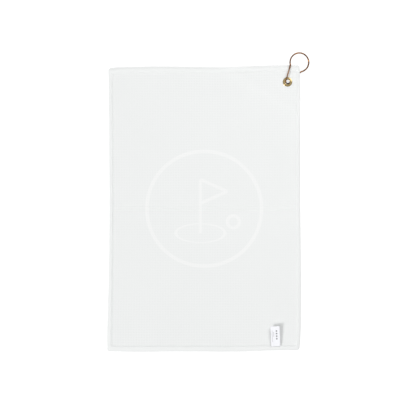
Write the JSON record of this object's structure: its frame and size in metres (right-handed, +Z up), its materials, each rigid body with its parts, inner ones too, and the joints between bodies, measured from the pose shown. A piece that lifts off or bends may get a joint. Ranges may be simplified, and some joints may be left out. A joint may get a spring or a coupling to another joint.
{
  "type": "golf towel",
  "caption": "Waffle-weave golf towel lying flat, with folded hems, a sewn-in label, a corner grommet and a pear-shaped wire ring for hanging it from a bag.",
  "frame": {"origin": "middle of the towel's underside, on the surface it lies on", "axes": "+X across the towel towards the long side with the grommet and the label, +Y towards the end with the grommet, +Z up out of the towel's face"},
  "size_m": [0.4253, 0.6366, 0.0163],
  "materials": {
    "cloth": "white cotton waffle weave",
    "hem": "white folded cotton",
    "thread": "white sewing thread",
    "label": "white woven satin",
    "grommet": "bright rolled brass",
    "ring_wire": "antique copper-coloured plated spring wire"
  },
  "bodies": {
    "lower_half": {"cloth_lower": "cloth", "bottom_hem": "hem", "left_hem_lower": "hem", "right_hem_lower": "hem", "bottom_hem_thread": "thread", "left_thread_lower": "thread", "right_thread_lower": "thread", "label_thread": "thread"},
    "upper_half": {"cloth_upper": "cloth", "top_hem": "hem", "left_hem_upper": "hem", "right_hem_upper": "hem", "top_hem_thread": "thread", "left_thread_upper": "thread", "right_thread_upper": "thread", "grommet_eyelet": "grommet", "grommet_washer": "grommet"},
    "label_flap": {"label": "label"},
    "ring": {"ring_bow": "ring_wire", "ring_catch": "ring_wire"},
    "ring_spring_arm": {"ring_arm": "ring_wire"}
  },
  "joints": [
    {"name": "half_fold", "type": "hinge", "parent": "lower_half", "child": "upper_half", "pos_m": [0, 0, 0.0036], "axis": [1, 0, 0], "range_deg": [0, 175]},
    {"name": "label_lift", "type": "hinge", "parent": "lower_half", "child": "label_flap", "pos_m": [0.1514, -0.2927, 0.0041], "axis": [1, 0, 0], "range_deg": [0, 165]},
    {"name": "ring_swing", "type": "hinge", "parent": "upper_half", "child": "ring", "pos_m": [0.176, 0.269, 0.00846], "axis": [0.5195, 0.8545, 0], "range_deg": [0, 104]},
    {"name": "catch_squeeze", "type": "hinge", "parent": "ring", "child": "ring_spring_arm", "pos_m": [0.21159, 0.32753, 0.00846], "axis": [-0.2723, 0.1656, -0.9479], "range_deg": [0, 6], "stiffness_Nm_per_rad": 1.5}
  ]
}
